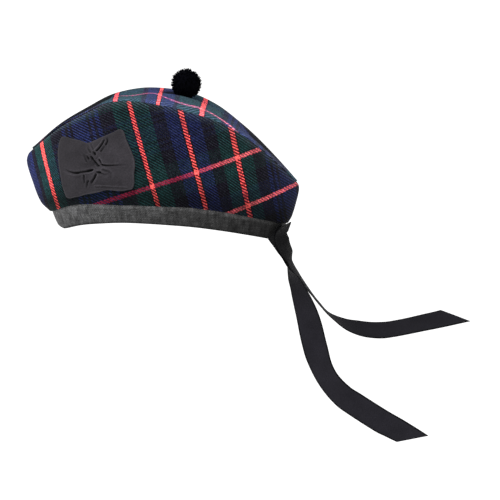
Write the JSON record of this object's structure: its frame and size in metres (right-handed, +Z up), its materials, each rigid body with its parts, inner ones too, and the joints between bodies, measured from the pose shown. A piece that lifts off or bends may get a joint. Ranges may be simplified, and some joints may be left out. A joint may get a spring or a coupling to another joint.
{
  "type": "glengarry",
  "caption": "Tartan glengarry: boat-shaped wool cap with a creased top, dark band, gathered ribbon cockade, black toorie and two ribbon tails hanging behind.",
  "frame": {"origin": "middle of the head opening, midway between the rim's foremost and rearmost points and between its two sides, about level with the front of the rim, where the head enters", "axes": "+X from the front of the hat to its back, +Y to the wearer's right, so the cockade is on -Y, and +Z up into the crown"},
  "size_m": [0.4216, 0.1465, 0.3564],
  "materials": {
    "side_left_tartan": "twill-woven wool tartan in navy, green and black with narrow red lines",
    "side_right_tartan": "twill-woven wool tartan in navy, green and black with narrow red lines",
    "top_tartan": "twill-woven wool tartan, lighter where it faces up",
    "band_cloth": "matt charcoal woven binding",
    "cockade_ribbon": "matt ribbed ribbon, gathered and stitched in the middle",
    "toorie_yarn": "cut black wool yarn",
    "tail_left_ribbon": "black ribbed ribbon with a woven edge",
    "tail_right_ribbon": "black ribbed ribbon with a woven edge"
  },
  "bodies": {
    "root": {"side_left": "side_left_tartan", "side_right": "side_right_tartan", "top_panel": "top_tartan", "band": "band_cloth", "cockade": "cockade_ribbon", "toorie": "toorie_yarn", "tail_left": "tail_left_ribbon", "tail_right": "tail_right_ribbon"}
  },
  "joints": []
}
